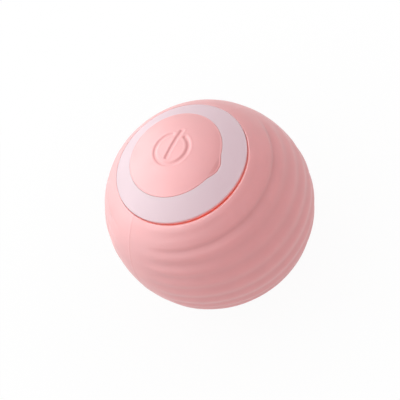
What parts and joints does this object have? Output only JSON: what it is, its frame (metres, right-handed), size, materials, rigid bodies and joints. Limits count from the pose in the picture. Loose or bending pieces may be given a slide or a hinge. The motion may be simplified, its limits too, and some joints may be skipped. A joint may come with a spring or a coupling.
{
  "type": "self rolling cat ball",
  "caption": "Motorised ball for cats: an eccentric weight rolls it, in a ridged silicone sleeve, with a light ring and a press and flip button cap over a charging socket.",
  "frame": {"origin": "centre of the ball", "axes": "+Z out through the middle of the button cap, +Y towards the top of the cap's symbol, +X towards the nail lip"},
  "size_m": [0.0432, 0.043, 0.0428],
  "materials": {
    "silicone_pink": "matte moulded silicone",
    "milky_plastic": "milky translucent, satin",
    "white_abs": "moulded, satin",
    "black_plastic": "moulded, satin",
    "acetal_white": "moulded acetal",
    "board_green": "circuit board with solder mask",
    "chip_black": "moulded epoxy",
    "lamp_yellow": "clear resin over phosphor",
    "lead_red": "wire insulation",
    "lead_black": "wire insulation",
    "steel": "plain drawn or turned steel",
    "brass": "stamped or turned",
    "cast_zinc": "die cast zinc, plain",
    "cell_foil": "laminated foil pouch"
  },
  "bodies": {
    "ball": {"silicone_sleeve": "silicone_pink", "upper_shell": "white_abs", "lower_shell": "white_abs", "light_ring": "milky_plastic", "cap_anchor": "silicone_pink", "port_deck": "white_abs", "usb_port_shell": "steel", "usb_port_tongue": "black_plastic", "tact_switch": "black_plastic", "control_board": "board_green", "control_chip": "chip_black", "charge_chip": "chip_black", "vibration_sensor": "steel", "led_1": "lamp_yellow", "led_2": "lamp_yellow", "led_3": "lamp_yellow", "led_4": "lamp_yellow", "board_screw_1": "steel", "board_screw_2": "steel", "chassis": "white_abs", "chassis_screw_1": "steel", "chassis_screw_2": "steel", "chassis_screw_3": "steel", "battery": "cell_foil", "battery_lead_red": "lead_red", "battery_lead_black": "lead_black", "motor_can": "steel", "motor_end_cap": "black_plastic", "motor_plate": "brass", "output_plate": "brass", "gearbox_post_1": "brass", "gearbox_post_2": "brass", "gearbox_screw_1": "steel", "gearbox_screw_2": "steel", "side_pin": "steel", "output_bush": "brass"},
    "cap_strap": {"cap_tether": "silicone_pink"},
    "cap": {"button_cap": "silicone_pink"},
    "switch_stem": {"switch_plunger": "white_abs"},
    "weight": {"eccentric_weight": "cast_zinc", "output_shaft": "steel", "output_gear": "acetal_white", "shaft_clip": "steel"},
    "third_gear": {"gear_3": "acetal_white"},
    "second_gear": {"gear_2": "acetal_white"},
    "first_gear": {"gear_1": "acetal_white"},
    "rotor": {"motor_shaft": "steel", "motor_pinion": "brass"}
  },
  "joints": [
    {"name": "weight_spin", "type": "hinge", "parent": "ball", "child": "weight", "pos_m": [0, 0, 0], "axis": [0, 0, 1], "continuous": true},
    {"name": "gear_3_spin", "type": "hinge", "parent": "ball", "child": "third_gear", "pos_m": [0.0068, 0, 0], "axis": [0, 0, 1], "continuous": true},
    {"name": "gear_2_spin", "type": "hinge", "parent": "ball", "child": "second_gear", "pos_m": [0, 0, 0], "axis": [0, 0, 1], "continuous": true},
    {"name": "gear_1_spin", "type": "hinge", "parent": "ball", "child": "first_gear", "pos_m": [0.0068, 0, 0], "axis": [0, 0, 1], "continuous": true},
    {"name": "rotor_spin", "type": "hinge", "parent": "ball", "child": "rotor", "pos_m": [0, 0, 0], "axis": [0, 0, 1], "continuous": true},
    {"name": "cap_flip", "type": "hinge", "parent": "ball", "child": "cap_strap", "pos_m": [-0.0095, 0, 0.01906], "axis": [0, -1, 0], "range_deg": [0, 110]},
    {"name": "cap_press", "type": "slide", "parent": "cap_strap", "child": "cap", "axis": [0, 0, -1], "range_m": [0, 0.0004], "stiffness_N_per_m": 1000, "springref_m": -0.0003},
    {"name": "switch_press", "type": "slide", "parent": "ball", "child": "switch_stem", "axis": [0, 0, -1], "range_m": [0, 0.00025]}
  ],
  "couplings": [
    {"joint": "gear_3_spin", "follows": "weight_spin", "ratio": -2.4},
    {"joint": "gear_2_spin", "follows": "weight_spin", "ratio": 5.76},
    {"joint": "gear_1_spin", "follows": "weight_spin", "ratio": -13.824},
    {"joint": "rotor_spin", "follows": "weight_spin", "ratio": 33.178},
    {"joint": "switch_press", "follows": "cap_press", "ratio": 0.625}
  ]
}
